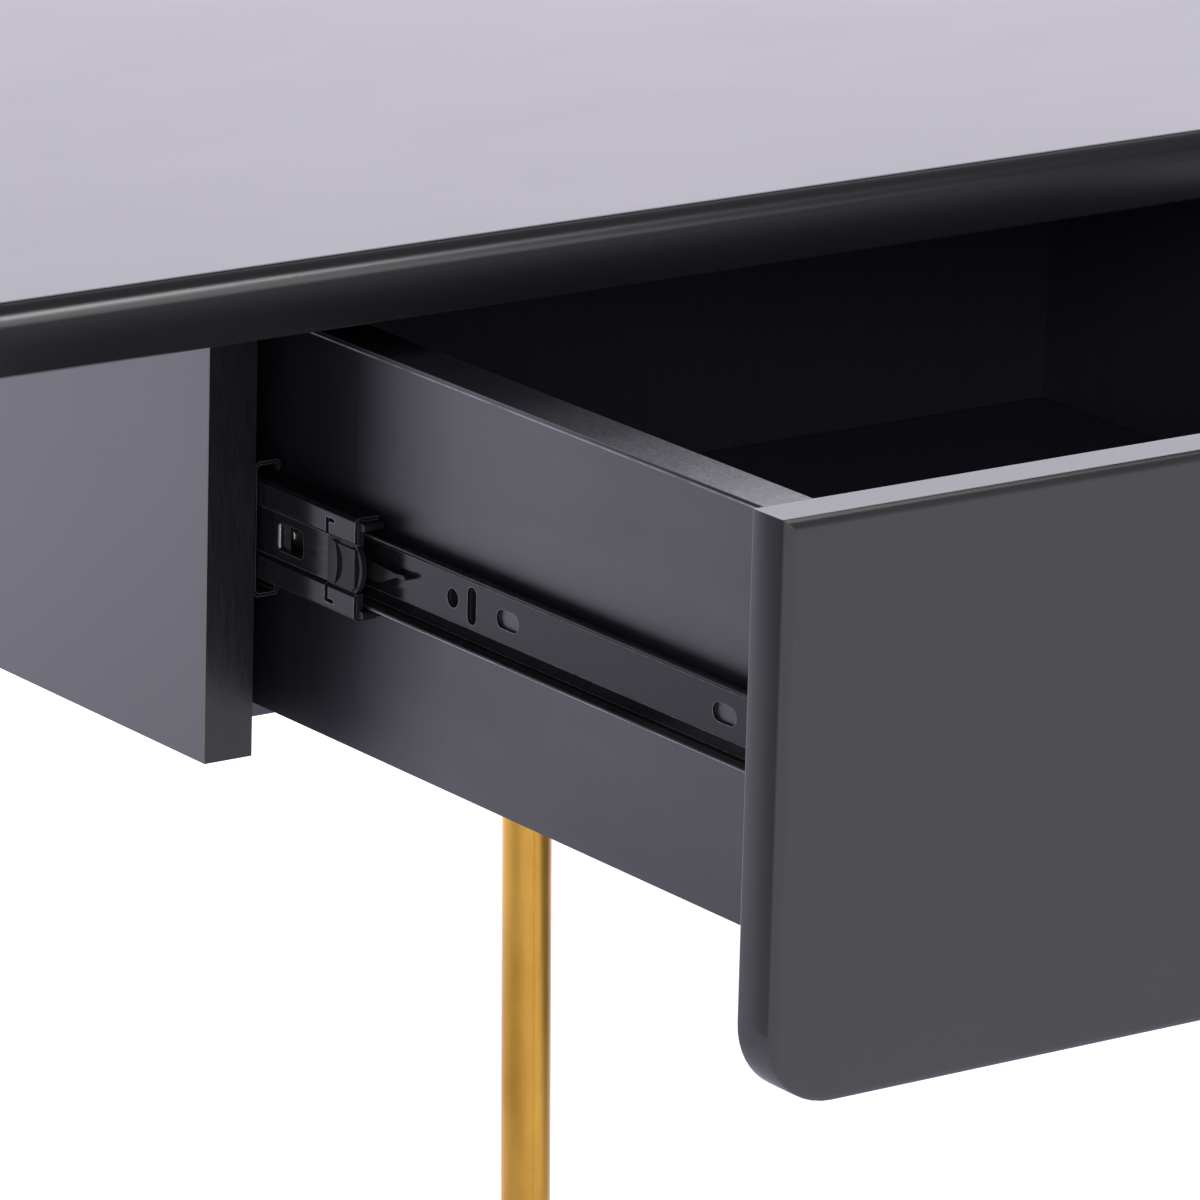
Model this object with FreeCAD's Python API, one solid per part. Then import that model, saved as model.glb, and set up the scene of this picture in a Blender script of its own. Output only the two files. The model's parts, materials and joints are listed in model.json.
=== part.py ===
import FreeCAD, Part
import os
from FreeCAD import Vector

# Writing desk with two drawers, in millimetres. +X points to the right-hand end, +Y to the back, +Z up.
# The origin is on the floor, at the middle of the overall box with the right-hand drawer pulled out.
# Each case is built on the right-hand side of the desk, and the left-hand one is its mirror image.

# Overall
desk_width = 1600.0
desk_depth = 600.0
desk_height = 760.0

# Desktop
top_thick = 22.0
top_corner = 22.0
top_upper_round = 8.0
top_lower_round = 1.0
front_overhang = 62.0
end_overhang = 42.0

# Drawer cases
case_width = 500.0
case_depth = 520.0
case_height = 157.0
board = 18.0
band_thick = 1.0
back_thick = 12.0
base_thick = 8.0
base_setback = 36.0
bracket_leg = 25.0
bracket_gauge = 1.5
bracket_width = 24.0
bracket_places = (120.0, 400.0)
board_screw_radius = 2.0
board_screw_length = 16.0
board_screw_head = 3.8
board_screw_head_depth = 2.0

# Drawers
front_thick = 18.0
front_side_gap = 1.0
front_top_gap = 2.0
front_case_gap = 2.0
front_drop = 27.0
front_corner = 24.0
front_ease = 3.2
front_back_ease = 0.8
drawer_length = 450.0
drawer_side_low = 11.0
drawer_side_high = 143.0
drawer_floor_thick = 5.0
drawer_floor_rise = 12.0
groove_depth = 6.0
groove_play = 0.2
cam_radius = 7.5
cam_depth = 12.5
cam_inset = 34.0
cam_heights = (40.0, 114.0)
cam_bolt_radius = 3.5
cam_bolt_in_front = 10.0
cam_slot_length = 10.5
cam_slot_width = 1.6
cam_slot_depth = 2.0

# Ball-bearing slides: three members of sheet steel, 45 mm high, in a 12.7 mm gap.
# A section is the upper half of the sheet's centre line: distance from the panel, height above the axis.
slide_gap = 12.7
slide_height = 75.0
slide_start = 1.0
stage_travel = 225.0
gauge = 1.2
case_member_length = 450.0
case_member_section = [(9.4, 19.6), (9.4, 21.2), (8.7, 21.9), (2.1, 21.9), (0.6, 20.4)]
case_slot = (11.0, 5.0)
case_slot_places = (70.0, 198.0, 262.0, 390.0)
case_screw_places = (38.0, 166.0, 294.0, 422.0)
middle_start = 7.0
middle_length = 437.0
middle_section = [(10.4, 16.3), (3.4, 16.3), (2.6, 15.5), (2.6, 9.0), (4.2, 7.8)]
middle_window_place = 38.7
middle_window = (14.6, 9.2)
middle_window_corner = 2.0
middle_slot = (20.0, 8.0)
middle_slot_places = (120.0, 300.0)
notch_length = 16.0
notch_half = 8.2
notch_bow = 17.0
notch_rise = 1.5
slit_width = 2.0
slit_height = 1.3
slit_place = 14.6
slit_reach = 13.9
slit_foot = 5.0
slit_depth = 6.0
slit_overlap = 1.0
runner_start = 1.0
runner_length = 440.0
runner_section = [(6.0, 11.6), (7.1, 10.75), (9.3, 10.75), (10.4, 9.7), (12.1, 7.9)]
runner_hole_radius = 3.1
runner_hole_place = 190.0
runner_cross_slot = (4.8, 12.2)
runner_cross_slot_place = 179.5
runner_slot = (12.0, 6.0)
runner_slot_places = (46.0, 160.0, 330.0)
runner_screw_places = (20.0, 300.0, 400.0)
wall_recess = 3.0
slide_screw_radius = 1.75
slide_screw_length = 14.0
slide_screw_head = 3.2
slide_screw_head_depth = 1.5

# Plastic end piece of the middle member
bumper_reach = 2.4
bumper_length = 14.0
bumper_low = 3.3
bumper_high = 5.1
bumper_half = 7.9
bumper_bow = 11.0
plate_tail = 1.0
rim_thick = 1.2
rim_groove = 1.9
rim_groove_depth = 0.9
rim_groove_reach = 5.1
rib_place = 12.0
rib_width = 2.0
rib_low = 2.2
rib_half = 6.9
rib_front = 9.0
rib_back = 15.0
pad_low = 2.6
pad_front = 0.8
pad_back = 10.8
pad_half = 6.4
pad_bow = 7.4
pad_waist = 7.3
arm_reach = 3.5
arm_high = 10.6
arm_low_z = 13.1
arm_high_z = 15.5
arm_ease = 1.0
arm_web_start = 0.5

# Balls and their cages
ball_radius = 2.0
ball_hole_radius = 2.2
ball_count = 5
ball_pitch = 24.0
ball_end = 12.0
cage_strip = 0.6
case_ball = (5.6, 19.1)
case_cage_web = (1.45, 1.75)
case_cage_reach = 8.4
case_cage_start = 150.0
runner_ball = (8.3, 13.525)
runner_cage_web = (4.95, 5.2)
runner_cage_reach = 11.0
runner_cage_start = 160.0

# Release lever, a flat arm on a rivet: outline as (along the slide from the rivet, above the axis)
lever_pivot = 275.5
lever_thick = 2.8
lever_play = 0.2
lever_outline = [(7.0, 4.0), (-22.0, 4.0), (-40.0, 2.2), (-58.0, 1.4), (-62.0, 1.9), (-63.5, 1.2),
                 (-62.5, 0.2), (-58.5, 0.4), (-50.0, -3.2), (-40.0, -3.6), (-22.0, -4.0), (7.0, -4.0)]
lever_boss = 5.0
rivet_radius = 1.5
rivet_play = 0.1
rivet_head_radius = 2.8
rivet_head = 0.8

# How far each drawer stands open: first the middle members, then the drawer past them
right_middle_out = 61.0
right_drawer_out = right_middle_out + stage_travel
left_middle_out = 0.0
left_drawer_out = 0.0

# Legs, leaning a little outward: leg_from_end is measured at the top
leg_radius = 10.0
leg_wall = 1.5
leg_lean = 1.3
leg_from_end = 32.0
leg_from_front = 46.0
leg_from_back = 30.0
bar_from_end = 26.0
bar_width = 50.0
bar_thick = 5.0
bar_front = 20.0
bar_back = 512.0
bar_screw_count = 5
bar_screw_margin = 25.0
bar_corner = 4.0
glide_head_radius = 11.0
glide_head = 5.0
glide_ease = 1.5
glide_plug = 16.0
glide_play = 0.2

# Places worked out from the sizes above
knee_gap = desk_width - 2 * (case_width + end_overhang)
case_x = knee_gap / 2
case_bottom = desk_height - top_thick - case_height
foremost = -(front_case_gap + right_drawer_out + front_thick)
rearmost = desk_depth - front_overhang
case_y = -(foremost + rearmost) / 2
drawer_left = board + slide_gap
drawer_right = case_width - board - slide_gap
drawer_start = -front_case_gap
drawer_end = drawer_start + drawer_length

UP = Vector(0, 0, 1)
BACK = Vector(0, 1, 0)
RIGHT = Vector(1, 0, 0)
LEFT = Vector(-1, 0, 0)
TINY = 0.01


def at(u, v, w):
    """A point of the right-hand case: u from its knee side, v from its front, w from its bottom."""
    return Vector(case_x + u, case_y + v, case_bottom + w)


def block(u0, u1, v0, v1, w0, w1):
    return Part.makeBox(u1 - u0, v1 - v0, w1 - w0, at(u0, v0, w0))


def rod(radius, length, place, direction):
    return Part.makeCylinder(radius, length, place, direction)


def moved(shape, dy):
    copy = shape.copy()
    copy.translate(Vector(0, dy, 0))
    return copy


def mirrored(shape):
    """The same piece in the left-hand case."""
    return shape.mirror(Vector(0, 0, 0), RIGHT)


def swapped(shape):
    """The same slide piece on the end side of the case instead of the knee side."""
    return shape.mirror(at(case_width / 2, 0, 0), RIGHT)


def edges_where(shape, test):
    return [edge for edge in shape.Edges if test(edge.BoundBox)]


def save(name, shape):
    shape.exportStep("parts/" + name + ".step")


# ---------------------------------------------------------------- desktop and cases

def desktop():
    low = Vector(-desk_width / 2, case_y - front_overhang, desk_height - top_thick)
    slab = Part.makeBox(desk_width, desk_depth, top_thick, low)
    slab = slab.makeFillet(top_corner, edges_where(slab, lambda b: b.ZLength > top_thick / 2))
    upper = edges_where(slab, lambda b: b.ZMin > desk_height - TINY)
    slab = slab.makeFillet(top_upper_round, upper)
    lower = edges_where(slab, lambda b: b.ZMax < desk_height - top_thick + TINY)
    return slab.makeFillet(top_lower_round, lower)


def side_panel(knee_side):
    u0 = 0.0 if knee_side else case_width - board
    return block(u0, u0 + board, band_thick, case_depth, 0, case_height)


def edge_band(knee_side):
    u0 = 0.0 if knee_side else case_width - board
    return block(u0, u0 + board, 0, band_thick, 0, case_height)


def case_back():
    return block(board, case_width - board, case_depth - back_thick, case_depth, 0, case_height)


def case_base():
    return block(board, case_width - board, base_setback, case_depth - back_thick, 0, base_thick)


def countersunk_screw(place, direction, length, radius, head_radius, head_depth):
    """A screw whose flat head lies at place and whose shank runs along direction."""
    head = Part.makeCone(head_radius, radius, head_depth, place, direction)
    shank = rod(radius, length, place, direction)
    return head.fuse(shank).removeSplitter()


def bracket(v):
    """An angle that ties the knee-side panel to the desktop above it."""
    half = bracket_width / 2
    down = block(board, board + bracket_gauge, v - half, v + half, case_height - bracket_leg, case_height)
    along = block(board, board + bracket_leg, v - half, v + half, case_height - bracket_gauge, case_height)
    return down.fuse(along).removeSplitter()


def board_screw(place, direction):
    return countersunk_screw(place, direction, board_screw_length, board_screw_radius,
                             board_screw_head, board_screw_head_depth)


def bracket_screw_pair(v):
    middle = (bracket_leg + bracket_gauge) / 2
    side = at(board + bracket_gauge, v, case_height - middle)
    top = at(board + middle, v, case_height - bracket_gauge)
    return [board_screw(side, LEFT), board_screw(top, UP)]


# ---------------------------------------------------------------- legs

def leg_bar():
    """The flat steel bar that carries two legs, screwed up into the end panel."""
    middle = case_width - bar_from_end
    bar = block(middle - bar_width / 2, middle + bar_width / 2, bar_front, bar_back, -bar_thick, 0)
    return bar.makeFillet(bar_corner, edges_where(bar, lambda b: b.ZLength > bar_thick / 2))


def leg_bar_screws():
    span = bar_back - bar_front - 2 * bar_screw_margin
    screws = []
    for index in range(bar_screw_count):
        v = bar_front + bar_screw_margin + span * index / (bar_screw_count - 1)
        screws.append(board_screw(at(case_width - board / 2, v, -bar_thick), UP))
    return screws


def leg_rod(radius, v, low, high):
    """A rod along the leaning axis of a leg, cut level at both ends."""
    spare = 2 * radius
    top = case_width - leg_from_end
    straight = rod(radius, high - low + 2 * spare, at(top, v, low - spare), UP)
    straight.rotate(at(top, v, 0), BACK, -leg_lean)
    return straight.common(block(0, 2 * case_width, v - spare, v + spare, low, high))


def leg_tube(v):
    low = glide_head - case_bottom
    bore = leg_rod(leg_radius - leg_wall, v, low, -bar_thick)
    return leg_rod(leg_radius, v, low, -bar_thick).cut(bore)


def foot_glide(v):
    shoulder = glide_head - case_bottom
    head = leg_rod(glide_head_radius, v, -case_bottom, shoulder)
    head = head.makeFillet(glide_ease, edges_where(head, lambda b: b.ZMax < TINY))
    plug_radius = leg_radius - leg_wall - glide_play
    return head.fuse(leg_rod(plug_radius, v, shoulder, shoulder + glide_plug))


# ---------------------------------------------------------------- drawers, closed

def drawer_front():
    low = -front_drop
    high = case_height - front_top_gap
    front = block(front_side_gap, case_width - front_side_gap,
                  drawer_start - front_thick, drawer_start, low, high)
    level = case_bottom + low + TINY
    corners = edges_where(front, lambda b: b.YLength > front_thick / 2 and b.ZMax < level)
    front = front.makeFillet(front_corner, corners)
    face = case_y + drawer_start - front_thick + TINY
    front = front.makeFillet(front_ease, edges_where(front, lambda b: b.YMax < face))
    rear = case_y + drawer_start - TINY
    return front.makeFillet(front_back_ease, edges_where(front, lambda b: b.YMin > rear))


def floor_low():
    return drawer_side_low + drawer_floor_rise


def floor_groove():
    """The slot round the drawer's inside that holds its floor."""
    return block(drawer_left + board - groove_depth - groove_play,
                 drawer_right - board + groove_depth + groove_play,
                 drawer_start - groove_depth - groove_play,
                 drawer_end - board + groove_depth + groove_play,
                 floor_low() - groove_play, floor_low() + drawer_floor_thick + groove_play)


def drawer_floor():
    return block(drawer_left + board - groove_depth, drawer_right - board + groove_depth,
                 drawer_start - groove_depth, drawer_end - board + groove_depth,
                 floor_low(), floor_low() + drawer_floor_thick)


def drawer_side():
    """The knee-side wall of the drawer."""
    return block(drawer_left, drawer_left + board, drawer_start, drawer_end,
                 drawer_side_low, drawer_side_high)


def drawer_back():
    return block(drawer_left + board, drawer_right - board, drawer_end - board, drawer_end,
                 drawer_side_low, drawer_side_high)


def cam_hole(w):
    place = at(drawer_left + board - cam_depth, drawer_start + cam_inset, w)
    return rod(cam_radius, cam_depth, place, RIGHT)


def cam_disc(w):
    """A cam with a screwdriver slot, set into the inner face of the knee-side wall."""
    face = drawer_left + board
    middle = drawer_start + cam_inset
    slot = block(face - cam_slot_depth, face, middle - cam_slot_length / 2, middle + cam_slot_length / 2,
                 w - cam_slot_width / 2, w + cam_slot_width / 2)
    return cam_hole(w).cut(slot)


def cam_bolt(w):
    """The bolt that runs from the drawer front into the cam."""
    place = at(drawer_left + board / 2, drawer_start - cam_bolt_in_front, w)
    return rod(cam_bolt_radius, cam_bolt_in_front + cam_inset - cam_radius, place, BACK)


def cam_pocket(w):
    return cam_hole(w).fuse(cam_bolt(w))


# ---------------------------------------------------------------- slides, closed, on the knee side

def slide_at(x, v, z):
    """A point of a slide: x from the side panel, v from the case's front, z above the slide's axis."""
    return at(board + x, v, slide_height + z)


def slide_block(x0, x1, v0, v1, z0, z1):
    return Part.makeBox(x1 - x0, v1 - v0, z1 - z0, slide_at(x0, v0, z0))


def both_ways(shape):
    """The shape and its reflection below the slide's axis."""
    return [shape, shape.mirror(slide_at(0, 0, 0), UP)]


def strip(half_line, v, length):
    """Sheet steel bent along a line, from v on. half_line is the line's upper half."""
    lower = [(x, -z) for x, z in reversed(half_line)]
    line = Part.makePolygon([slide_at(x, v, z) for x, z in half_line + lower])
    section = line.makeOffset2D(gauge / 2, 0, True, False, False)
    return Part.Solid(section.extrude(Vector(0, length, 0)))


def slide_hole(v, radius):
    """A drill right through the slide's gap."""
    return rod(radius, slide_gap, slide_at(0, v, 0), RIGHT)


def rounded_slot(v, length, height, corner):
    """A punch of rounded outline, right through the slide's gap."""
    punch = slide_block(0, slide_gap, v - length / 2, v + length / 2, -height / 2, height / 2)
    return punch.makeFillet(corner, edges_where(punch, lambda b: b.XLength > slide_gap / 2))


def long_slot(v, size):
    """A slot whose ends are nearly half-round."""
    return rounded_slot(v, size[0], size[1], min(size) / 2 - TINY)


def slide_screw(x, v, direction):
    return countersunk_screw(slide_at(x, v, 0), direction, slide_screw_length, slide_screw_radius,
                             slide_screw_head, slide_screw_head_depth)


def case_screws():
    """Heads flush with the web of the case member, shanks in the side panel."""
    return [slide_screw(gauge, v, LEFT) for v in case_screw_places]


def runner_screws():
    """Heads flush with the web of the drawer member, shanks in the drawer's side."""
    return [slide_screw(slide_gap - gauge, runner_start + v, RIGHT) for v in runner_screw_places]


def case_member():
    member = strip(case_member_section, slide_start, case_member_length)
    slots = [long_slot(slide_start + v, case_slot) for v in case_slot_places]
    return member.cut(Part.makeCompound(slots)).cut(Part.makeCompound(case_screws()))


def middle_notch():
    """The opening at the front of the middle member's web, with a bowed rear edge."""
    notch = slide_block(0, slide_gap, middle_start, middle_start + notch_length, -notch_half, notch_half)
    bow_centre = middle_start + notch_length - notch_rise + notch_bow
    return notch.cut(rod(notch_bow, slide_gap, slide_at(0, bow_centre, 0), RIGHT))


def middle_slit():
    """An L-shaped slit in the upper band of the middle member, which frees a tab beside the notch."""
    back = middle_start + slit_place + slit_width
    low = notch_half - slit_overlap
    upright = slide_block(0, slit_depth, back - slit_width, back, low, slit_reach)
    foot = slide_block(0, slit_depth, back - slit_foot, back, slit_reach - slit_height, slit_reach)
    return upright.fuse(foot)


def middle_member():
    member = strip(middle_section, middle_start, middle_length)
    cutters = [rounded_slot(middle_start + middle_window_place, *middle_window, middle_window_corner)]
    cutters += [long_slot(middle_start + v, middle_slot) for v in middle_slot_places]
    cutters.append(middle_notch())
    cutters += both_ways(middle_slit())
    return member.cut(Part.makeCompound(cutters))


def bumper_rim():
    """The bowed front wall of the plate, with a groove behind it."""
    front = middle_start - bumper_reach
    back = middle_start + notch_length + plate_tail
    centre = front + bumper_bow
    plate = slide_block(bumper_low, bumper_high, front, back, -bumper_half, bumper_half)
    plate = plate.common(rod(bumper_bow, slide_gap, slide_at(0, centre, 0), RIGHT))
    outer = rod(bumper_bow - rim_thick, rim_groove_depth, slide_at(bumper_low, centre, 0), RIGHT)
    inner = rod(bumper_bow - rim_thick, slide_gap, slide_at(0, centre + rim_groove, 0), RIGHT)
    keep = slide_block(0, slide_gap, front, front + rim_groove_reach, -bumper_half, bumper_half)
    groove = outer.cut(inner).common(keep)
    return plate.cut(groove)


def bumper_rib():
    """A bowed rib on the plate that fills the gap behind the tabs."""
    centre = middle_start + rib_place + notch_bow - rib_width
    rib = rod(notch_bow, slide_gap, slide_at(0, centre, 0), RIGHT)
    rib = rib.cut(rod(notch_bow - rib_width, slide_gap, slide_at(0, centre, 0), RIGHT))
    room = slide_block(rib_low, bumper_low, middle_start + rib_front, middle_start + rib_back,
                       -rib_half, rib_half)
    return rib.common(room)


def bumper_pad():
    """A raised pad between the tabs, its rear edge hollowed."""
    pad = slide_block(pad_low, bumper_low, middle_start + pad_front, middle_start + pad_back,
                      -pad_half, pad_half)
    return pad.cut(rod(pad_bow, slide_gap, slide_at(0, middle_start + pad_waist + pad_bow, 0), RIGHT))


def bumper_arm():
    """The upper arm, which reaches round the ball race to stop the drawer member."""
    front = middle_start - arm_reach
    back = middle_start + bumper_length
    arm = slide_block(bumper_low, arm_high, front, back, arm_low_z, arm_high_z)
    web = slide_block(bumper_low, bumper_high, middle_start - arm_web_start, back, bumper_half, arm_high_z)
    face = case_y + front + TINY
    ease = edges_where(arm, lambda b: b.XLength > arm_ease and b.YMax < face)
    return arm.makeFillet(arm_ease, ease).fuse(web)


def bumper():
    """The plastic end piece of the middle member, open in the middle for the drawer member."""
    pieces = [bumper_rib(), bumper_pad()] + both_ways(bumper_arm())
    return bumper_rim().fuse(pieces).cut(middle_member()).removeSplitter()


def runner_member():
    """The member that is screwed to the drawer's side."""
    member = strip(runner_section, runner_start, runner_length)
    cutters = [slide_hole(runner_start + runner_hole_place, runner_hole_radius)]
    cutters.append(long_slot(runner_start + runner_cross_slot_place, runner_cross_slot))
    cutters += [long_slot(runner_start + v, runner_slot) for v in runner_slot_places]
    cutters.append(slide_hole(runner_start + lever_pivot, rivet_radius))
    return member.cut(Part.makeCompound(cutters)).cut(Part.makeCompound(runner_screws()))


def wall_recesses():
    """Shallow holes in the drawer's wall, behind the open holes of the drawer member."""
    punches = [slide_hole(runner_start + runner_hole_place, runner_hole_radius)]
    punches.append(long_slot(runner_start + runner_cross_slot_place, runner_cross_slot))
    for punch in punches:
        punch.translate(Vector(wall_recess, 0, 0))
    return punches


def lever_face():
    """How far the lever's outer face lies from the side panel."""
    return slide_gap - gauge - lever_play - lever_thick


def lever():
    """The release lever: a plastic arm with a pointed tip."""
    pivot = runner_start + lever_pivot
    points = [slide_at(lever_face(), pivot + v, z) for v, z in lever_outline]
    arm = Part.Face(Part.makePolygon(points + points[:1])).extrude(Vector(lever_thick, 0, 0))
    boss = rod(lever_boss, lever_thick, slide_at(lever_face(), pivot, 0), RIGHT)
    hole = rod(rivet_radius + rivet_play, lever_thick, slide_at(lever_face(), pivot, 0), RIGHT)
    return arm.fuse(boss).removeSplitter().cut(hole)


def lever_rivet():
    """The pin the lever turns on, fixed in the web of the drawer member."""
    pivot = runner_start + lever_pivot
    start = lever_face() - lever_play
    shank = rod(rivet_radius, slide_gap - start, slide_at(start, pivot, 0), RIGHT)
    head = rod(rivet_head_radius, rivet_head, slide_at(start - rivet_head, pivot, 0), RIGHT)
    return head.fuse(shank).removeSplitter()


def ball_cage(start, ball_place, web, reach):
    """A sheet cage with a row of balls above and below, each ball its own solid."""
    length = ball_pitch * (ball_count - 1) + 2 * ball_end
    x, z = ball_place
    cage = slide_block(*web, start, start + length, -z, z)
    balls = []
    holes = []
    for sign in (1, -1):
        low = sign * z - cage_strip / 2
        cage = cage.fuse(slide_block(web[0], reach, start, start + length, low, low + cage_strip))
        for index in range(ball_count):
            centre = slide_at(x, start + ball_end + index * ball_pitch, sign * z)
            balls.append(Part.makeSphere(ball_radius, centre))
            holes.append(rod(ball_hole_radius, 2 * ball_radius, centre - UP * ball_radius, UP))
    cage = cage.cut(Part.makeCompound(holes)).removeSplitter()
    return [cage] + balls


def both_slides(pieces):
    """Copies of the pieces on the knee side and on the end side of the case."""
    return pieces + [swapped(piece) for piece in pieces]


# ---------------------------------------------------------------- export

def export_case(side, place, drawer_out, middle_out):
    """Every piece of one case. place moves a right-hand shape to this side of the desk."""
    screws = both_slides(case_screws())
    brackets = both_slides([bracket(v) for v in bracket_places])
    angle_screws = []
    for v in bracket_places:
        angle_screws += both_slides(bracket_screw_pair(v))
    fixings = Part.makeCompound(screws + leg_bar_screws() + angle_screws)

    save(side + "_knee_panel", place(side_panel(True).cut(fixings)))
    save(side + "_end_panel", place(side_panel(False).cut(fixings)))
    save(side + "_case_back", place(case_back()))
    save(side + "_case_base", place(case_base()))
    save(side + "_leg_bar", place(leg_bar().cut(fixings)))
    save("front_" + side + "_leg", place(leg_tube(leg_from_front)))
    save("rear_" + side + "_leg", place(leg_tube(case_depth - leg_from_back)))

    export_drawer(side, place, drawer_out)
    export_slides(side, place, drawer_out, middle_out)

    groups = {
        "slide_case_screws": screws,
        "board_screws": leg_bar_screws() + angle_screws,
        "desktop_brackets": [piece.cut(fixings) for piece in brackets],
        "panel_edge_bands": [edge_band(True), edge_band(False)],
        "foot_glides": [foot_glide(leg_from_front), foot_glide(case_depth - leg_from_back)],
    }
    return {name: [place(piece) for piece in pieces] for name, pieces in groups.items()}


def export_drawer(side, place, drawer_out):
    def put(name, shape):
        save(side + "_drawer_" + name, place(moved(shape, -drawer_out)))

    screws = both_slides(runner_screws())
    groove = floor_groove()
    pockets = [cam_pocket(w) for w in cam_heights]
    all_pockets = Part.makeCompound(both_slides(pockets))
    wall = drawer_side()
    drilled = Part.makeCompound(screws + both_slides(wall_recesses()))
    put("front", drawer_front().cut(groove).cut(all_pockets))
    put("knee_side", wall.cut(groove).cut(all_pockets).cut(drilled))
    put("end_side", swapped(wall).cut(groove).cut(all_pockets).cut(drilled))
    put("back", drawer_back().cut(groove))
    put("floor", drawer_floor())
    cams = [cam_disc(w) for w in cam_heights] + [cam_bolt(w) for w in cam_heights]
    put("cam_locks", Part.makeCompound(both_slides(cams)))
    put("slide_screws", Part.makeCompound(screws))
    put("lever_rivets", Part.makeCompound(both_slides([lever_rivet()])))


def export_slides(side, place, drawer_out, middle_out):
    case_cage = ball_cage(case_cage_start, case_ball, case_cage_web, case_cage_reach)
    runner_cage = ball_cage(runner_cage_start, runner_ball, runner_cage_web, runner_cage_reach)
    runner_cage_out = middle_out + (drawer_out - middle_out) / 2
    parts = {
        "case_member": (case_member(), 0.0),
        "middle_member": (middle_member(), middle_out),
        "bumper": (bumper(), middle_out),
        "drawer_member": (runner_member(), drawer_out),
        "lever": (lever(), drawer_out),
    }
    for name, (shape, out) in parts.items():
        slid = moved(shape, -out)
        save(side + "_knee_slide_" + name, place(slid))
        save(side + "_end_slide_" + name, place(swapped(slid)))
    cages = {
        "case_ball_cages": (case_cage, middle_out / 2),
        "drawer_ball_cages": (runner_cage, runner_cage_out),
    }
    for name, (pieces, out) in cages.items():
        solids = [place(moved(piece, -out)) for piece in both_slides(pieces)]
        save(side + "_" + name, Part.makeCompound(solids))


def main():
    os.makedirs("parts", exist_ok=True)
    shared = export_case("right", lambda shape: shape, right_drawer_out, right_middle_out)
    for name, pieces in export_case("left", mirrored, left_drawer_out, left_middle_out).items():
        shared[name] += pieces
    for name, pieces in shared.items():
        save(name, Part.makeCompound(pieces))
    save("desktop", desktop().cut(Part.makeCompound(shared["board_screws"])))


main()
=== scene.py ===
import json
import math

import bmesh
import bpy
from mathutils import Matrix, Vector


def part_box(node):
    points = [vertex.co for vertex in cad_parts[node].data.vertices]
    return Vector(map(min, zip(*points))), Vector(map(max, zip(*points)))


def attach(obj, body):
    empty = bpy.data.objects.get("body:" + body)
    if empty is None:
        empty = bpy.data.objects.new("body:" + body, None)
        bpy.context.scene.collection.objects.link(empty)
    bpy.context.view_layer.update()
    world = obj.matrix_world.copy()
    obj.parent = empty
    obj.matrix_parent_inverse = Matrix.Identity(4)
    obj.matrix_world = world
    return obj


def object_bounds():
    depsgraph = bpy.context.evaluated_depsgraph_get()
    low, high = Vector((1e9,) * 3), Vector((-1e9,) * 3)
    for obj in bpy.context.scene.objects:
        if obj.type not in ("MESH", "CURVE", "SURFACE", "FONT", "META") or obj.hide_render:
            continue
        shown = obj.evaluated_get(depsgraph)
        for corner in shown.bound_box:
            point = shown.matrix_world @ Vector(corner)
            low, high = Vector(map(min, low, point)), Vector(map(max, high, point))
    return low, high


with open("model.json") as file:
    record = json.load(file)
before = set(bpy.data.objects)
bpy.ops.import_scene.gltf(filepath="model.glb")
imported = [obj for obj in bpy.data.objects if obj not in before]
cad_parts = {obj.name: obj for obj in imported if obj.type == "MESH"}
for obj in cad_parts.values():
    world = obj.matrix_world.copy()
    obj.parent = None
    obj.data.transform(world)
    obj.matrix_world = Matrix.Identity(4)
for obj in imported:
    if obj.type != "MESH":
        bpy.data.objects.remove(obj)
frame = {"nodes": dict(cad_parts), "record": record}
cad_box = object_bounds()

MM = 0.001

# ---------------------------------------------------------------- camera
# The camera stands to the front left of the knee-side panel of the open drawer's case.
# Its place is measured from that panel's lower front corner, on the face of its edge band.
panel_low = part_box("right_knee_panel")[0]
band_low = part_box("panel_edge_bands")[0]
corner = Vector((panel_low.x, band_low.y, panel_low.z))
CAMERA_FROM_CORNER = Vector((-1.5136, -2.3218, 0.8625))
CAMERA_YAW = math.radians(35.692)
CAMERA_PITCH = math.radians(16.198)
CAMERA_ROLL = math.radians(1.479)
FOCAL_OVER_WIDTH = 7.542
SENSOR = 36.0
CLIP_END = 50


def make_camera():
    data = bpy.data.cameras.new("camera")
    data.sensor_width = SENSOR
    data.lens = FOCAL_OVER_WIDTH * SENSOR
    data.clip_end = CLIP_END
    camera = bpy.data.objects.new("camera", data)
    bpy.context.scene.collection.objects.link(camera)
    forward = Vector((math.sin(CAMERA_YAW) * math.cos(CAMERA_PITCH),
                      math.cos(CAMERA_YAW) * math.cos(CAMERA_PITCH), -math.sin(CAMERA_PITCH)))
    level = Vector((math.cos(CAMERA_YAW), -math.sin(CAMERA_YAW), 0))
    above = level.cross(forward)
    right = level * math.cos(CAMERA_ROLL) + above * math.sin(CAMERA_ROLL)
    up = above * math.cos(CAMERA_ROLL) - level * math.sin(CAMERA_ROLL)
    place = corner + CAMERA_FROM_CORNER
    camera.matrix_world = Matrix(((right.x, up.x, -forward.x, place.x),
                                  (right.y, up.y, -forward.y, place.y),
                                  (right.z, up.z, -forward.z, place.z),
                                  (0, 0, 0, 1)))
    bpy.context.scene.camera = camera


make_camera()


# ---------------------------------------------------------------- node helpers

def new_material(name):
    material = bpy.data.materials.new(name)
    material.use_nodes = True
    tree = material.node_tree
    shader = tree.nodes["Principled BSDF"]
    return material, tree, shader


def object_point(tree, scale=(1, 1, 1)):
    coords = tree.nodes.new("ShaderNodeTexCoord")
    mapping = tree.nodes.new("ShaderNodeMapping")
    mapping.inputs["Scale"].default_value = scale
    tree.links.new(coords.outputs["Object"], mapping.inputs["Vector"])
    return mapping.outputs["Vector"]


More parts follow.
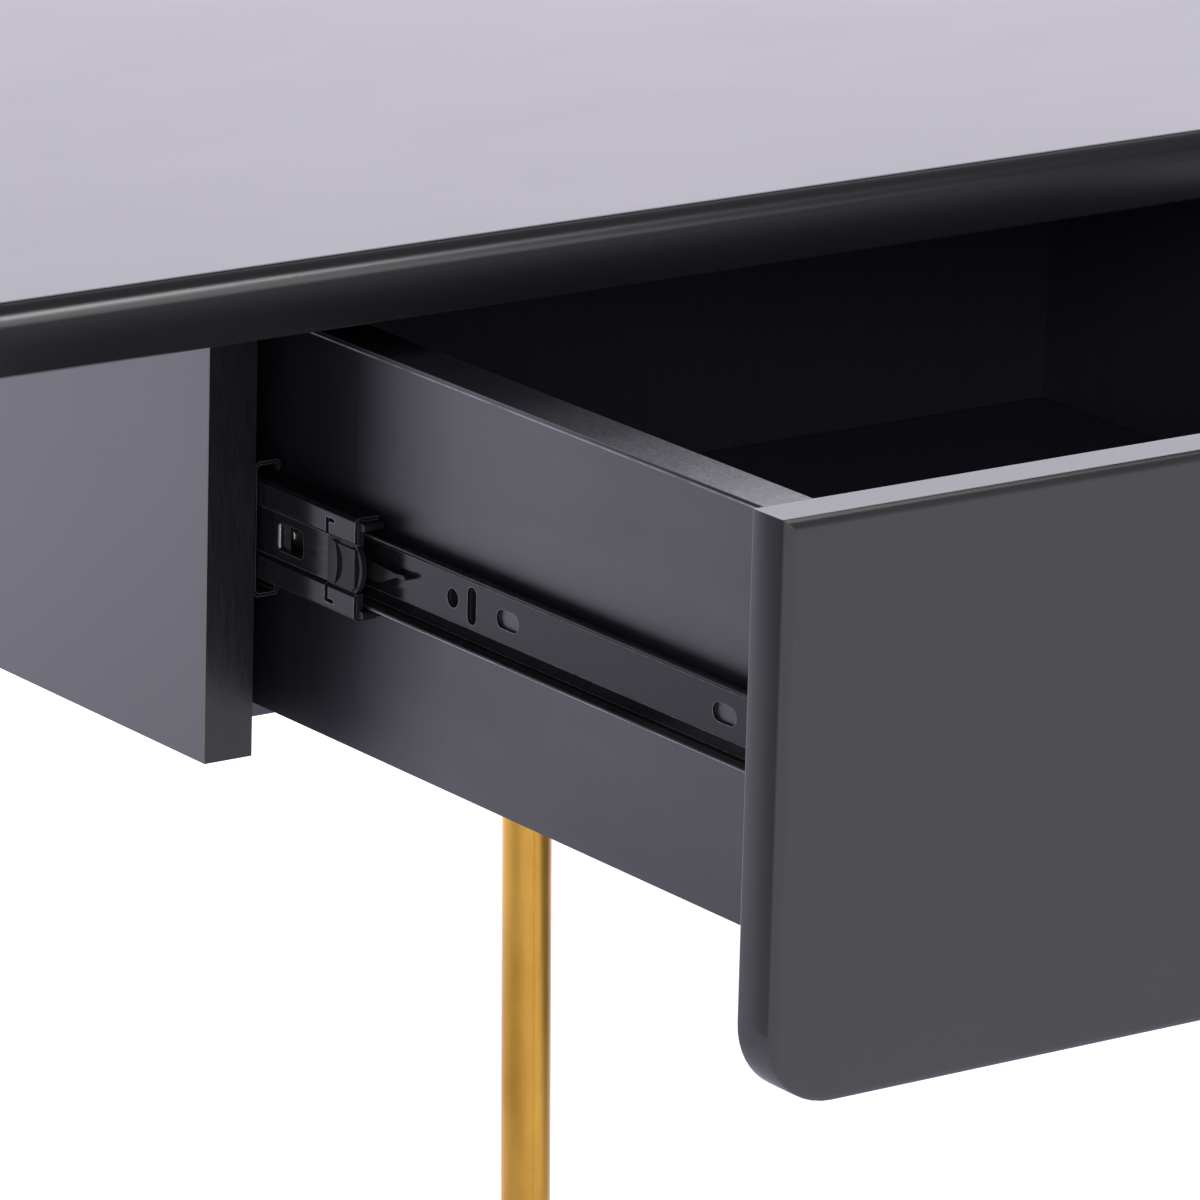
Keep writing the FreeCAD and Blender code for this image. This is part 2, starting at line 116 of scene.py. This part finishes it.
def noise(tree, vector, scale, detail=3.0, rough=0.5):
    node = tree.nodes.new("ShaderNodeTexNoise")
    node.inputs["Scale"].default_value = scale
    node.inputs["Detail"].default_value = detail
    node.inputs["Roughness"].default_value = rough
    tree.links.new(vector, node.inputs["Vector"])
    return node.outputs["Fac"]


def remap(tree, value, low, high, to_low, to_high):
    node = tree.nodes.new("ShaderNodeMapRange")
    node.inputs["From Min"].default_value = low
    node.inputs["From Max"].default_value = high
    node.inputs["To Min"].default_value = to_low
    node.inputs["To Max"].default_value = to_high
    tree.links.new(value, node.inputs["Value"])
    return node.outputs["Result"]


def maths(tree, operation, a, b):
    node = tree.nodes.new("ShaderNodeMath")
    node.operation = operation
    for socket, value in zip(node.inputs, (a, b)):
        if isinstance(value, (int, float)):
            socket.default_value = value
        else:
            tree.links.new(value, socket)
    return node.outputs[0]


def product(tree, a, b):
    return maths(tree, "MULTIPLY", a, b)


def blend(tree, factor, first, second):
    """The first value where the factor is 0 and the second where it is 1."""
    rest = maths(tree, "SUBTRACT", 1.0, factor)
    return maths(tree, "ADD", product(tree, first, rest), product(tree, second, factor))


def scaled(colour, amount):
    return tuple(amount * channel for channel in colour)


def mix_colour(tree, factor, first, second):
    node = tree.nodes.new("ShaderNodeMix")
    node.data_type = "RGBA"
    if isinstance(factor, (int, float)):
        node.inputs[0].default_value = factor
    else:
        tree.links.new(factor, node.inputs[0])
    for socket, value in ((node.inputs[6], first), (node.inputs[7], second)):
        if isinstance(value, tuple):
            socket.default_value = (*value, 1.0)
        else:
            tree.links.new(value, socket)
    return node.outputs[2]


def object_axis(tree, axis):
    """One coordinate of the surface point, in the piece's own frame."""
    split = tree.nodes.new("ShaderNodeSeparateXYZ")
    tree.links.new(object_point(tree), split.inputs[0])
    return split.outputs[axis]


def normal_axis(tree, axis):
    """One coordinate of the surface's direction, in the piece's own frame."""
    coords = tree.nodes.new("ShaderNodeTexCoord")
    split = tree.nodes.new("ShaderNodeSeparateXYZ")
    tree.links.new(coords.outputs["Normal"], split.inputs[0])
    return split.outputs[axis]


def facing(tree, axis):
    """1 on faces that look along the given axis, either way, and 0 on the others."""
    return remap(tree, maths(tree, "ABSOLUTE", normal_axis(tree, axis), 0.0), 0.7, 0.98, 0.0, 1.0)


def looking(tree, axis, sign):
    """1 on faces that look along the given axis in the given direction, and 0 on the others."""
    return remap(tree, product(tree, normal_axis(tree, axis), sign), 0.6, 0.9, 0.0, 1.0)


def bump(tree, height, strength, distance, normal=None):
    node = tree.nodes.new("ShaderNodeBump")
    node.inputs["Strength"].default_value = strength
    node.inputs["Distance"].default_value = distance
    tree.links.new(height, node.inputs["Height"])
    if normal is not None:
        tree.links.new(normal, node.inputs["Normal"])
    return node.outputs["Normal"]


def band(tree, value, low, high):
    """1 where the value lies between low and high, with soft ends."""
    soft = (high - low) / 3
    rise = remap(tree, value, low, low + soft, 0.0, 1.0)
    fall = remap(tree, value, high - soft, high, 1.0, 0.0)
    return product(tree, rise, fall)


def edge_mask(tree, radius):
    """1 on a piece's arrises and 0 on its faces."""
    bevel = tree.nodes.new("ShaderNodeBevel")
    bevel.samples = 4
    bevel.inputs["Radius"].default_value = radius
    geometry = tree.nodes.new("ShaderNodeNewGeometry")
    dot = tree.nodes.new("ShaderNodeVectorMath")
    dot.operation = "DOT_PRODUCT"
    tree.links.new(bevel.outputs["Normal"], dot.inputs[0])
    tree.links.new(geometry.outputs["Normal"], dot.inputs[1])
    return remap(tree, dot.outputs["Value"], 0.995, 0.90, 0.0, 1.0)


# ---------------------------------------------------------------- materials

# How far from an edge each finish shows wear
LACQUER_ARRIS = 1.2 * MM
FOIL_ARRIS = 0.6 * MM
STEEL_ARRIS = 0.4 * MM
PLASTIC_ARRIS = 0.3 * MM
# Heights below a drawer wall's top arris
GLUE_LINE = (0.1 * MM, 1.2 * MM)
# The band of the painted highlight, a pale line just under the glue line
PALE_LINE = (1.2 * MM, 1.9 * MM)
WALL_FADE = (10 * MM, 120 * MM)
REAR_RISE = (60 * MM, 110 * MM)
# Distances behind a drawer wall's front end
SEAM_OPEN = (60 * MM, 200 * MM)
LEDGE_FADE = (20 * MM, 125 * MM)
LEDGE_WEAR = (20 * MM, 90 * MM)
IN_CASE = (195 * MM, 250 * MM)
# How fast the drawer fronts' ends and the desktop's edge swell
END_CROWN = 14.0
EDGE_CROWN = 5.0
# Colours
BLACK = (0.0075, 0.0070, 0.0098)
# Painted fill light: the boards inside the drawers and cases get a lighter copy of the black foil in place
# of light bounced into them
INNER_PAINTED_FILL = (0.0300, 0.0275, 0.0400)
OUTER = (0.0070, 0.0064, 0.0092)
WORN = (0.05, 0.047, 0.045)
# Colour of the painted highlight under a drawer wall's top arris
PAINTED_HIGHLIGHT = (0.27, 0.25, 0.28)
DARK_SEAM = (0.002, 0.002, 0.002)
BARE_STEEL = (0.42, 0.42, 0.44)
PALE_PLASTIC = (0.10, 0.10, 0.11)


def link_surface(tree, shader, colour, roughness, normal):
    tree.links.new(colour, shader.inputs["Base Color"])
    tree.links.new(roughness, shader.inputs["Roughness"])
    tree.links.new(normal, shader.inputs["Normal"])


def crown(tree, across, start, amount, normal):
    """Relief that makes a face swell more and more from start on, but leaves level faces flat."""
    upright = remap(tree, maths(tree, "ABSOLUTE", normal_axis(tree, "Z"), 0.0), 0.97, 0.99, 1.0, 0.0)
    along = maths(tree, "SUBTRACT", object_axis(tree, across), start)
    drop = product(tree, product(tree, along, along), -amount)
    return bump(tree, product(tree, drop, upright), 1.0, 1.0, normal)


def lacquer(name, colour, worn, roughness, gloss, crowned):
    """Satin lacquer on board: a faint orange peel, soft smudges, and arrises rubbed a little lighter.

    crowned is the axis, start and amount of a slight swell."""
    material, tree, shader = new_material(name)
    point = object_point(tree)
    peel = noise(tree, point, 420, 2)
    smudge = noise(tree, object_point(tree, (3, 7, 3)), 2.4, 5, 0.6)
    cloud = remap(tree, noise(tree, point, 9, 4), 0.3, 0.7, 0.0, 1.0)
    edge = product(tree, edge_mask(tree, LACQUER_ARRIS), noise(tree, point, 140, 3))
    base = mix_colour(tree, cloud, colour, scaled(colour, 1.25))
    rubbed = mix_colour(tree, product(tree, edge, 0.5), base, worn)
    satin = remap(tree, smudge, 0.3, 0.75, roughness - 0.008, roughness + 0.014)
    shader.inputs["Specular IOR Level"].default_value = gloss
    link_surface(tree, shader, rubbed, satin, crown(tree, *crowned, bump(tree, peel, 0.03, 0.0002)))
    return material


def foil(tree, colour, worn, roughness, outer=None):
    """Colour, roughness and relief of foil-covered board: a fine upright grain, and rubbed arrises.

    outer is the axis and direction of the face that shows on the outside of the case, in the outer foil; the
    other faces keep the given colour, which for the case boards carries painted fill light."""
    grain = noise(tree, object_point(tree, (60, 60, 1.6)), 26, 5, 0.65)
    fine = noise(tree, object_point(tree), 1400, 2)
    cloud = noise(tree, object_point(tree), 7, 3)
    ridges = remap(tree, grain, 0.35, 0.7, 0.0, 1.0)
    base = mix_colour(tree, ridges, colour, scaled(colour, 1.5))
    if outer is not None:
        shown = mix_colour(tree, ridges, OUTER, scaled(OUTER, 1.5))
        base = mix_colour(tree, looking(tree, *outer), base, shown)
    edge = product(tree, edge_mask(tree, FOIL_ARRIS), 0.5)
    rubbed = mix_colour(tree, edge, base, worn)
    satin = remap(tree, cloud, 0.3, 0.7, roughness - 0.03, roughness + 0.04)
    height = maths(tree, "ADD", grain, product(tree, fine, 0.6))
    return rubbed, satin, bump(tree, height, 0.06, 0.0002)


def panel_board(name, colour, worn, roughness, gloss, outer=None):
    """Foil-covered board with the same gloss all over."""
    material, tree, shader = new_material(name)
    shader.inputs["Specular IOR Level"].default_value = gloss
    link_surface(tree, shader, *foil(tree, colour, worn, roughness, outer))
    return material


def glue_line_and_painted_highlight(tree, below, back):
    """The dark glue line under a banded top edge, opening towards the front, and below it a pale line that
    is a painted highlight, broken into patches.
    """
    side = facing(tree, "X")
    opened = product(tree, side, remap(tree, back, *SEAM_OPEN, 1.0, 0.2))
    glue = product(tree, opened, band(tree, below, *GLUE_LINE))
    # Patches that break up the painted highlight
    highlight_patches = noise(tree, object_point(tree), 60, 4, 0.7)
    pale = product(tree, product(tree, side, band(tree, below, *PALE_LINE)),
                   remap(tree, highlight_patches, 0.35, 0.6, 0.15, 1.0))
    return glue, pale


def drawer_wall_board(name, colour, worn, roughness, gloss, top_arris, front_end):
    """A drawer's side board: a duller banded top edge with its glue line and a painted highlight under it,
    and less sheen further back.

    top_arris is the height of its top edge and front_end where it starts on Y, in the piece's own frame."""
    material, tree, shader = new_material(name)
    rubbed, satin, relief = foil(tree, colour, worn, roughness)
    below = maths(tree, "SUBTRACT", top_arris, object_axis(tree, "Z"))
    back = maths(tree, "SUBTRACT", object_axis(tree, "Y"), front_end)
    glue, pale = glue_line_and_painted_highlight(tree, below, back)
    # Painted highlight: the pale line under the top arris
    rubbed = mix_colour(tree, product(tree, pale, 0.9), rubbed, PAINTED_HIGHLIGHT)
    rubbed = mix_colour(tree, glue, rubbed, DARK_SEAM)
    ledge = facing(tree, "Z")
    streaks = remap(tree, noise(tree, object_point(tree, (1, 1, 6)), 9, 3), 0.3, 0.7, 0.92, 1.08)
    front = product(tree, remap(tree, below, *WALL_FADE, 1.16 * gloss, 0.84 * gloss), streaks)
    rear = remap(tree, below, *REAR_RISE, 0.06, 0.20)
    wall = blend(tree, remap(tree, back, *IN_CASE, 0.0, 1.0), front, rear)
    sheen = blend(tree, ledge, wall, remap(tree, back, *LEDGE_FADE, 0.80, 0.07))
    sheen = product(tree, sheen, remap(tree, glue, 0.0, 1.0, 1.0, 0.1))
    tree.links.new(sheen, shader.inputs["Specular IOR Level"])
    mottle = noise(tree, object_point(tree), 900, 4, 0.7)
    wear = remap(tree, back, *LEDGE_WEAR, 0.68, 1.0)
    dull = product(tree, remap(tree, mottle, 0.3, 0.7, 0.34, 0.56), wear)
    link_surface(tree, shader, rubbed, blend(tree, ledge, satin, dull), relief)
    return material


def steel_coat(name, colour, roughness, gloss):
    """Black coat on rolled sheet steel: fine draw lines along the slide and rubbed arrises."""
    material, tree, shader = new_material(name)
    draw = noise(tree, object_point(tree, (400, 4, 400)), 3, 4, 0.6)
    spots = noise(tree, object_point(tree), 320, 3)
    base = mix_colour(tree, remap(tree, spots, 0.35, 0.7, 0.0, 1.0), colour, scaled(colour, 1.5))
    bare = product(tree, edge_mask(tree, STEEL_ARRIS), remap(tree, spots, 0.3, 0.6, 0.25, 0.55))
    satin = remap(tree, draw, 0.3, 0.7, roughness - 0.03, roughness + 0.05)
    tree.links.new(bare, shader.inputs["Metallic"])
    shader.inputs["Specular IOR Level"].default_value = gloss
    coat = mix_colour(tree, bare, base, BARE_STEEL)
    link_surface(tree, shader, coat, satin, bump(tree, draw, 0.08, 0.0001))
    return material


def plastic(name, colour, roughness, gloss):
    """Moulded plastic: a fine spark texture, flow marks and slightly paler arrises."""
    material, tree, shader = new_material(name)
    grain = noise(tree, object_point(tree), 1800, 2)
    flow = noise(tree, object_point(tree, (1, 5, 1)), 60, 3)
    base = mix_colour(tree, remap(tree, flow, 0.3, 0.7, 0.0, 1.0), colour, scaled(colour, 1.4))
    edge = product(tree, edge_mask(tree, PLASTIC_ARRIS), 0.3)
    satin = remap(tree, flow, 0.3, 0.7, roughness - 0.05, roughness + 0.06)
    shader.inputs["Specular IOR Level"].default_value = gloss
    rubbed = mix_colour(tree, edge, base, PALE_PLASTIC)
    link_surface(tree, shader, rubbed, satin, bump(tree, grain, 0.15, 0.0001))
    return material


def metal(name, colour, dark, roughness, stretch=(300, 300, 3), scale=6):
    """Bare or plated metal with brush lines and a soft tarnish."""
    material, tree, shader = new_material(name)
    brush = noise(tree, object_point(tree, stretch), scale, 4, 0.7)
    tarnish = noise(tree, object_point(tree, (14, 14, 5)), 3.2, 4, 0.55)
    base = mix_colour(tree, remap(tree, tarnish, 0.35, 0.72, 0.0, 1.0), colour, dark)
    lined = mix_colour(tree, remap(tree, brush, 0.3, 0.8, 0.0, 0.25), base, dark)
    satin = remap(tree, brush, 0.3, 0.7, roughness - 0.06, roughness + 0.08)
    shader.inputs["Metallic"].default_value = 1.0
    link_surface(tree, shader, lined, satin, bump(tree, brush, 0.12, 0.0002))
    return material


def banding(name, colour, core):
    """Edge band: board colour on its face, with the pale core and glue showing at its two sides."""
    material, tree, shader = new_material(name)
    geometry = tree.nodes.new("ShaderNodeNewGeometry")
    split = tree.nodes.new("ShaderNodeSeparateXYZ")
    tree.links.new(geometry.outputs["Normal"], split.inputs[0])
    side = remap(tree, maths(tree, "ABSOLUTE", split.outputs["X"], 0.0), 0.5, 0.9, 0.0, 1.0)
    grain = noise(tree, object_point(tree, (300, 300, 20)), 8, 4)
    patchy = product(tree, side, remap(tree, grain, 0.3, 0.7, 0.2, 0.9))
    face = mix_colour(tree, remap(tree, grain, 0.35, 0.7, 0.0, 1.0), colour, scaled(colour, 1.6))
    satin = remap(tree, grain, 0.3, 0.7, 0.30, 0.42)
    bare = mix_colour(tree, patchy, face, core)
    link_surface(tree, shader, bare, satin, bump(tree, grain, 0.15, 0.0002))
    return material


MATERIALS = {
    "black_panel": panel_board("foil_panel", OUTER, WORN, 0.27, 0.62),
    "black_steel": steel_coat("coated_steel", (0.0070, 0.0070, 0.0085), 0.15, 0.15),
    "black_plastic": plastic("moulded_plastic", (0.0095, 0.0095, 0.0105), 0.40, 0.16),
    "black_screw": metal("black_screw", (0.10, 0.10, 0.10), (0.03, 0.03, 0.03), 0.42, (30, 30, 30), 40),
    "zinc": metal("zinc_plate", (0.62, 0.62, 0.60), (0.36, 0.35, 0.33), 0.34, (20, 20, 20), 40),
    "bearing_steel": metal("bearing_steel", (0.30, 0.30, 0.31), (0.14, 0.14, 0.15), 0.25, (40, 40, 40), 30),
    "brushed_brass": metal("brushed_brass", (0.55, 0.318, 0.058), (0.40, 0.205, 0.030), 0.20),
}
# Painted fill light on the drawers' inside boards
INNER_BOARD_PAINTED_FILL = panel_board("inner_foil_painted_fill", INNER_PAINTED_FILL, WORN, 0.34, 0.5)
EDGE_BAND = banding("edge_band", (0.0060, 0.0060, 0.0070), (0.12, 0.08, 0.045))
# Painted fill light on the case boards, lighter still, and their arris wear lightened to match
CASE_INNER_PAINTED_FILL = scaled(INNER_PAINTED_FILL, 1.35)
CASE_WEAR_AND_FILL = (0.07, 0.065, 0.062)
# Which way the outside of each case board looks
CASE_LOOKS = {"right_end_panel": ("X", 1), "left_end_panel": ("X", -1), "right_case_back": ("Y", 1),
              "left_case_back": ("Y", 1), "right_case_base": ("Z", -1), "left_case_base": ("Z", -1)}
INNER_PIECES = ("drawer_back", "drawer_floor", "drawer_end_side")


def own_point(obj, place):
    """A place in the scene, in the piece's own frame."""
    return obj.matrix_world.inverted() @ Vector(place)


def drawer_wall(node, obj):
    low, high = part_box(node)
    arris = own_point(obj, (high.x, low.y, high.z))
    return drawer_wall_board(node + "_foil", BLACK, WORN, 0.40, 0.64, arris.z, arris.y)


def front_lacquer(node, obj):
    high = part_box(node)[1]
    return lacquer(node + "_lacquer", (0.0105, 0.0105, 0.0115), (0.06, 0.06, 0.065), 0.26, 0.58,
                   ("Y", own_point(obj, high).y, END_CROWN))


def top_lacquer(node, obj):
    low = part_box(node)[0]
    return lacquer(node + "_lacquer", (0.0080, 0.0078, 0.0098), (0.05, 0.05, 0.055), 0.24, 0.5,
                   ("Z", own_point(obj, low).z, EDGE_CROWN))


def dress_frame():
    slots = {s["node"]: s["material_slot"] for s in frame["record"]["subparts"]}
    for node, obj in frame["nodes"].items():
        if node == "desktop":
            material = top_lacquer(node, obj)
        elif node.endswith("drawer_front"):
            material = front_lacquer(node, obj)
        elif node.endswith("drawer_knee_side"):
            material = drawer_wall(node, obj)
        elif node == "panel_edge_bands":
            material = EDGE_BAND
        elif node.endswith(INNER_PIECES):
            material = INNER_BOARD_PAINTED_FILL
        elif node in CASE_LOOKS:
            # Case boards: painted fill light on all faces but the outer one
            material = panel_board(node + "_foil", CASE_INNER_PAINTED_FILL, CASE_WEAR_AND_FILL, 0.36, 0.45, CASE_LOOKS[node])
        else:
            material = MATERIALS[slots[node]]
        obj.data.materials.clear()
        obj.data.materials.append(material)


dress_frame()


# ---------------------------------------------------------------- small pieces on the slides

def new_piece(name, vertices, faces, body, slot_name, smooth=False):
    mesh = bpy.data.meshes.new(name)
    mesh.from_pydata([tuple(v) for v in vertices], [], faces)
    shape = bmesh.new()
    shape.from_mesh(mesh)
    bmesh.ops.recalc_face_normals(shape, faces=shape.faces)
    shape.to_mesh(mesh)
    shape.free()
    for polygon in mesh.polygons:
        polygon.use_smooth = smooth
    mesh.materials.append(MATERIALS[slot_name])
    piece = bpy.data.objects.new(name, mesh)
    bpy.context.scene.collection.objects.link(piece)
    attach(piece, body)


def skin(count, rows):
    """Faces that join rows of count points into a closed bar, with its two ends."""
    faces = []
    for row in range(rows - 1):
        for index in range(count):
            a = row * count + index
            b = row * count + (index + 1) % count
            faces.append((a, b, b + count, a + count))
    faces.append(tuple(range(count)))
    faces.append(tuple(range((rows - 1) * count, rows * count)))
    return faces


def panel_side(side, place):
    """-1 where the case's panel lies on the -X side of a slide, and 1 where it lies on its +X side."""
    return -1 if (side, place) in (("right", "knee"), ("left", "end")) else 1


DOME_RINGS = 7
DOME_STEPS = 40
DOME_RADIUS = 2.7 * MM
DOME_HEIGHT = 0.9 * MM
DOME_FULLNESS = 0.96
DIMPLE_DEPTH = 0.18 * MM
DIMPLE_REACH = 0.3


def dome_profile():
    """Radius and height of each ring of a rivet's domed top, from its middle out and down to its foot."""
    profile = []
    for ring in range(DOME_RINGS + 1):
        part = ring / DOME_RINGS
        dimple = DIMPLE_DEPTH * max(0.0, 1 - (part / DIMPLE_REACH) ** 2)
        swell = DOME_HEIGHT * math.sqrt(max(0.0, 1 - part * part * DOME_FULLNESS))
        profile.append((DOME_RADIUS * part, swell - dimple))
    profile.append((DOME_RADIUS, 0.0))
    return profile


def rivet_dome(side, place):
    """The domed top of a lever's rivet, with a small dimple from the rivet set."""
    low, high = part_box(side + "_drawer_lever_rivets")
    sign = panel_side(side, place)
    start = low.x if sign < 0 else high.x
    middle = (low + high) / 2
    profile = dome_profile()
    vertices = [Vector((start + sign * profile[0][1], middle.y, middle.z))]
    for radius, height in profile[1:]:
        for step in range(DOME_STEPS):
            turn = 2 * math.pi * step / DOME_STEPS
            vertices.append(Vector((start + sign * height, middle.y + radius * math.cos(turn),
                                    middle.z + radius * math.sin(turn))))
    faces = []
    for step in range(DOME_STEPS):
        after = (step + 1) % DOME_STEPS
        faces.append((0, 1 + step, 1 + after))
        for ring in range(len(profile) - 2):
            a = 1 + ring * DOME_STEPS
            b = a + DOME_STEPS
            faces.append((a + step, a + after, b + after, b + step))
    faces.append(tuple(1 + (len(profile) - 2) * DOME_STEPS + step for step in range(DOME_STEPS)))
    new_piece(side + "_" + place + "_rivet_dome", vertices, faces, side + "_drawer", "zinc", True)


WINDOW_END = 46.0 * MM
WEB_FROM_BAND = 1.6 * MM
BURR_HALF = 4.3 * MM
# The burr's section, into the sheet and along the slide in mm, and its swell at parts of its half height
BURR_SECTION = [(0.10, 0.0), (0.16, -0.45), (0.42, -0.97), (0.62, -0.80), (1.05, 0.0)]
BURR_LEVELS = [(-1.0, 0.35), (-0.9, 1.0), (0.9, 1.0), (1.0, 0.35)]


def window_burr(side, place):
    """The bright burr that the punch left along the rear end of the middle member's window."""
    low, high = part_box(side + "_" + place + "_slide_middle_member")
    sign = panel_side(side, place)
    face = low.x + WEB_FROM_BAND if sign < 0 else high.x - WEB_FROM_BAND
    rear = low.y + WINDOW_END
    middle = (low.z + high.z) / 2
    vertices = []
    for level, swell in BURR_LEVELS:
        for inward, forward in BURR_SECTION:
            vertices.append(Vector((face - sign * inward * MM, rear + forward * swell * MM,
                                    middle + level * BURR_HALF)))
    faces = skin(len(BURR_SECTION), len(BURR_LEVELS))
    new_piece(side + "_" + place + "_window_burr", vertices, faces, side + "_middle_members", "zinc")


EDGE_STEPS = 44
EDGE_END = 0.004
# The bare edge's section in mm: into the member and up from its lowest level
EDGE_SECTION = [(0.04, -0.02), (-0.04, 0.08), (-0.03, 0.22), (0.04, 0.32), (0.30, 0.34), (0.34, -0.02)]


def flange_edge(side, place):
    """The bare sheared edge along the free side of the drawer member's lower flange."""
    low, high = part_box(side + "_" + place + "_slide_drawer_member")
    sign = panel_side(side, place)
    start = low.x if sign < 0 else high.x
    vertices = []
    for step in range(EDGE_STEPS + 1):
        part = EDGE_END + (1 - 2 * EDGE_END) * step / EDGE_STEPS
        along = low.y + (high.y - low.y) * part
        swell = 1.0 + 0.12 * math.sin(step * 2.1) + 0.08 * math.sin(step * 5.3)
        for inward, rise in EDGE_SECTION:
            vertices.append(Vector((start - sign * inward * MM, along, low.z + rise * swell * MM)))
    faces = skin(len(EDGE_SECTION), EDGE_STEPS + 1)
    new_piece(side + "_" + place + "_flange_edge", vertices, faces, side + "_drawer", "bearing_steel")


for side in ("right", "left"):
    for place in ("knee", "end"):
        rivet_dome(side, place)
        window_burr(side, place)
        flange_edge(side, place)


# ---------------------------------------------------------------- floor and light

# The floor's own light, and how much of it is missing at the two sides and under the desk
FLOOR_NEAR = 0.93
FLOOR_FAR = 1.78
SIDE_SHADE = 0.92
DESK_SHADE = 0.32
# Where each of those changes: distance from the middle, and place from front to back
BRIGHT_Y = (1.15, 1.95)
SIDE_X = (1.15, 1.45)
SIDE_BACK_Y = (0.85, 0.15)
SIDE_FRONT_Y = (-1.6, -1.0)
UNDER_X = (0.45, 0.75)
UNDER_BACK_Y = (0.55, 0.95)
UNDER_FRONT_Y = (-0.2, 0.1)
TINT_Y = (-1.4, -0.6)
FRONT_TINT = (1.17, 1.19, 1.26)
BACK_TINT = (1.04, 1.0, 1.20)
FLOOR_SIZE = 30


def make_floor():
    """A pale floor that gives light: more towards the back, less at the desk's two sides and under it."""
    bpy.ops.mesh.primitive_plane_add(size=FLOOR_SIZE, location=(0, 0, cad_box[0][2]))
    floor = bpy.context.object
    floor.name = "floor"
    material, tree, shader = new_material("floor")
    shader.inputs["Base Color"].default_value = (0.45, 0.45, 0.45, 1)
    shader.inputs["Roughness"].default_value = 0.9
    shader.inputs["Specular IOR Level"].default_value = 0.1
    x = maths(tree, "ABSOLUTE", object_axis(tree, "X"), 0.0)
    y = object_axis(tree, "Y")
    beside = product(tree, remap(tree, y, *SIDE_BACK_Y, 0.0, 1.0), remap(tree, y, *SIDE_FRONT_Y, 0.0, 1.0))
    aside = product(tree, remap(tree, x, *SIDE_X, 0.0, SIDE_SHADE), beside)
    within = product(tree, remap(tree, y, *UNDER_BACK_Y, 1.0, 0.0), remap(tree, y, *UNDER_FRONT_Y, 0.0, 1.0))
    under = product(tree, remap(tree, x, *UNDER_X, DESK_SHADE, 0.0), within)
    lit = maths(tree, "SUBTRACT", 1.0, maths(tree, "ADD", aside, under))
    strength = product(tree, remap(tree, y, *BRIGHT_Y, FLOOR_NEAR, FLOOR_FAR), lit)
    tint = mix_colour(tree, remap(tree, y, *TINT_Y, 0.0, 1.0), FRONT_TINT, BACK_TINT)
    tree.links.new(tint, shader.inputs["Emission Color"])
    tree.links.new(strength, shader.inputs["Emission Strength"])
    floor.data.materials.append(material)


def softbox(name, place, target, size, power, colour=(1, 1, 1)):
    data = bpy.data.lights.new(name, "AREA")
    data.shape = "RECTANGLE"
    data.size, data.size_y = size
    data.energy = power
    data.color = colour
    light = bpy.data.objects.new(name, data)
    bpy.context.scene.collection.objects.link(light)
    light.location = place
    light.rotation_euler = (Vector(target) - Vector(place)).to_track_quat("-Z", "Y").to_euler()
    light.visible_camera = False


WALL = 1.0
CEILING = 0.22
FRONT_WALL = 0.55
# Between which heights and how far forward, as parts of a unit direction, the room darkens
CEILING_RISE = (0.34, 0.62)
FRONT_TURN = (-0.1, -0.5)


def make_world():
    """A white room that darkens towards its ceiling and its front wall."""
    world = bpy.data.worlds.new("studio")
    bpy.context.scene.world = world
    world.use_nodes = True
    tree = world.node_tree
    background = tree.nodes["Background"]
    coords = tree.nodes.new("ShaderNodeTexCoord")
    split = tree.nodes.new("ShaderNodeSeparateXYZ")
    tree.links.new(coords.outputs["Generated"], split.inputs[0])
    background.inputs["Color"].default_value = (0.92, 0.885, 1.0, 1)
    height = remap(tree, split.outputs["Z"], *CEILING_RISE, WALL, CEILING)
    front = remap(tree, split.outputs["Y"], *FRONT_TURN, 1.0, FRONT_WALL)
    tree.links.new(product(tree, height, front), background.inputs["Strength"])


# A place on the desktop's front edge that the two front lights are aimed at
EDGE_SPOT = (0.18, -0.18, 0.755)


def make_light():
    softbox("back", (2.9, 4.2, 1.75), (0.4, 0.2, 0.76), (4.2, 2.4), 43, (0.91, 0.88, 1.0))
    softbox("front", (0.80, -0.72, 2.00), EDGE_SPOT, (0.8, 0.22), 7.0)
    softbox("front_low", (0.78, -1.12, 1.76), EDGE_SPOT, (0.9, 0.7), 5.0)
    softbox("fill", (-1.65, -2.75, 1.85), (0.3, 0.0, 0.65), (0.9, 0.9), 20, (0.95, 0.95, 1.0))


make_floor()
make_world()
make_light()
bpy.context.scene.view_settings.view_transform = "Standard"
